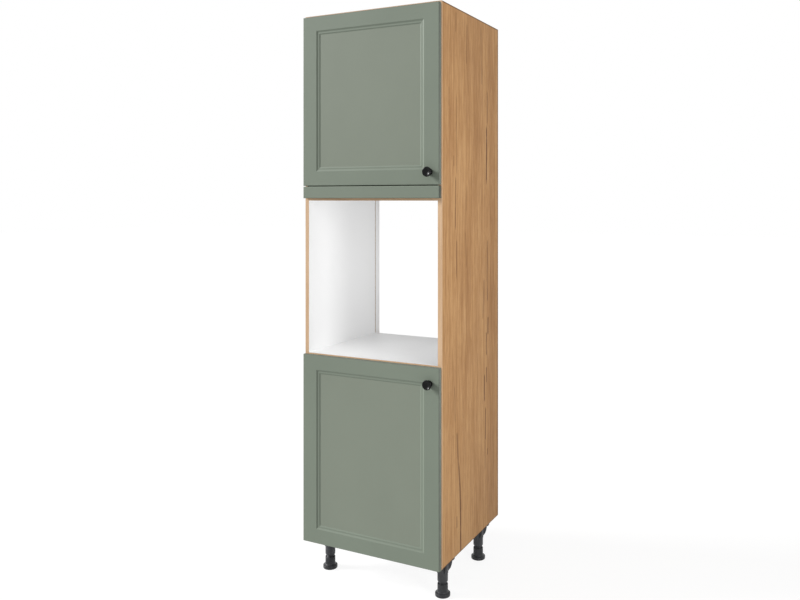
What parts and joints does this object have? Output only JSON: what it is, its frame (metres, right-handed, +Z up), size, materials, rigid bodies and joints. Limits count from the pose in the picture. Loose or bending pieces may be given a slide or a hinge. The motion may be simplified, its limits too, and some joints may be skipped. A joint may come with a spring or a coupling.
{
  "type": "tall oven housing unit",
  "caption": "Tall kitchen unit with an open oven niche between two framed doors, a filler strip under the upper door, adjustable shelves inside and height-adjustable screw feet.",
  "frame": {"origin": "on the floor under the middle of the unit, halfway between the knob fronts and the rear edges of the sides", "axes": "+X to the right seen from the front, +Y from the doors to the back, +Z up"},
  "size_m": [0.6, 0.603, 2.222],
  "materials": {
    "oak_board": "oak-look foil outside, white inside, satin",
    "white_board": "white melamine-faced board, satin",
    "edge_band": "pale oak-look edge banding, satin",
    "back_board": "thin white-faced hardboard, satin",
    "sage_front": "sage green foil on fibreboard, matt",
    "knob_black": "black, satin gloss",
    "hinge_steel": "nickel-plated steel",
    "screw_steel": "zinc-plated steel",
    "leg_plastic": "black moulded plastic",
    "bumper_clear": "soft pale plastic",
    "beech": "fluted beech dowel"
  },
  "bodies": {
    "carcass": {"side_left": "oak_board", "side_right": "oak_board", "bottom_panel": "white_board", "niche_floor": "white_board", "niche_ceiling": "white_board", "top_panel": "white_board", "front_edge_bands": "edge_band", "back_panel_lower": "back_board", "back_panel_upper": "back_board", "back_panel_screws": "screw_steel", "shelf_lower": "white_board", "shelf_upper": "white_board", "shelf_pins": "screw_steel", "cam_bolts": "screw_steel", "cam_locks": "screw_steel", "dowels": "beech", "filler_strip": "sage_front", "strip_brackets": "hinge_steel", "strip_screws": "screw_steel", "wall_brackets": "hinge_steel", "wall_bracket_screws": "screw_steel", "hinge_plates": "hinge_steel", "hinge_plate_screws": "screw_steel", "hinge_arms": "hinge_steel", "hinge_arm_pins": "hinge_steel", "hinge_arm_screws": "screw_steel", "leg_sockets": "leg_plastic", "leg_tubes": "leg_plastic", "leg_screws": "screw_steel"},
    "door_lower": {"door_lower": "sage_front", "knob_lower": "knob_black", "knob_screw_lower": "screw_steel", "hinge_cups_lower": "hinge_steel", "hinge_cup_pins_lower": "hinge_steel", "hinge_cup_screws_lower": "screw_steel", "bumpers_lower": "bumper_clear"},
    "door_upper": {"door_upper": "sage_front", "knob_upper": "knob_black", "knob_screw_upper": "screw_steel", "hinge_cups_upper": "hinge_steel", "hinge_cup_pins_upper": "hinge_steel", "hinge_cup_screws_upper": "screw_steel", "bumpers_upper": "bumper_clear"},
    "foot_front_left": {"foot_front_left": "leg_plastic"},
    "foot_front_right": {"foot_front_right": "leg_plastic"},
    "foot_rear_left": {"foot_rear_left": "leg_plastic"},
    "foot_rear_right": {"foot_rear_right": "leg_plastic"},
    "hinge_link_lower_bottom": {"hinge_link_lower_bottom": "hinge_steel"},
    "hinge_link_lower_top": {"hinge_link_lower_top": "hinge_steel"},
    "hinge_link_upper_bottom": {"hinge_link_upper_bottom": "hinge_steel"},
    "hinge_link_upper_top": {"hinge_link_upper_top": "hinge_steel"}
  },
  "joints": [
    {"name": "door_lower_swing", "type": "hinge", "parent": "carcass", "child": "door_lower", "pos_m": [-0.2925, -0.2725, 0.244], "axis": [0, 0, -1], "range_deg": [0, 95], "stiffness_Nm_per_rad": 0.3, "springref_deg": -85.94},
    {"name": "door_upper_swing", "type": "hinge", "parent": "carcass", "child": "door_upper", "pos_m": [-0.2925, -0.2725, 1.647], "axis": [0, 0, -1], "range_deg": [0, 95], "stiffness_Nm_per_rad": 0.3, "springref_deg": -85.94},
    {"name": "hinge_link_lower_bottom_turn", "type": "hinge", "parent": "door_lower", "child": "hinge_link_lower_bottom", "pos_m": [-0.2905, -0.2685, 0.244], "axis": [0, 0, 1], "range_deg": [0, 110.7]},
    {"name": "hinge_link_lower_top_turn", "type": "hinge", "parent": "door_lower", "child": "hinge_link_lower_top", "pos_m": [-0.2905, -0.2685, 0.79], "axis": [0, 0, 1], "range_deg": [0, 110.7]},
    {"name": "hinge_link_upper_bottom_turn", "type": "hinge", "parent": "door_upper", "child": "hinge_link_upper_bottom", "pos_m": [-0.2905, -0.2685, 1.647], "axis": [0, 0, 1], "range_deg": [0, 110.7]},
    {"name": "hinge_link_upper_top_turn", "type": "hinge", "parent": "door_upper", "child": "hinge_link_upper_top", "pos_m": [-0.2905, -0.2685, 2.119], "axis": [0, 0, 1], "range_deg": [0, 110.7]},
    {"name": "foot_front_left_screw", "type": "slide", "parent": "carcass", "child": "foot_front_left", "axis": [0, 0, -1], "range_m": [0, 0.025]},
    {"name": "foot_front_right_screw", "type": "slide", "parent": "carcass", "child": "foot_front_right", "axis": [0, 0, -1], "range_m": [0, 0.025]},
    {"name": "foot_rear_left_screw", "type": "slide", "parent": "carcass", "child": "foot_rear_left", "axis": [0, 0, -1], "range_m": [0, 0.025]},
    {"name": "foot_rear_right_screw", "type": "slide", "parent": "carcass", "child": "foot_rear_right", "axis": [0, 0, -1], "range_m": [0, 0.025]}
  ],
  "couplings": [
    {"joint": "hinge_link_lower_bottom_turn", "follows": "door_lower_swing", "ratio": 1.16},
    {"joint": "hinge_link_lower_top_turn", "follows": "door_lower_swing", "ratio": 1.16},
    {"joint": "hinge_link_upper_bottom_turn", "follows": "door_upper_swing", "ratio": 1.16},
    {"joint": "hinge_link_upper_top_turn", "follows": "door_upper_swing", "ratio": 1.16}
  ]
}
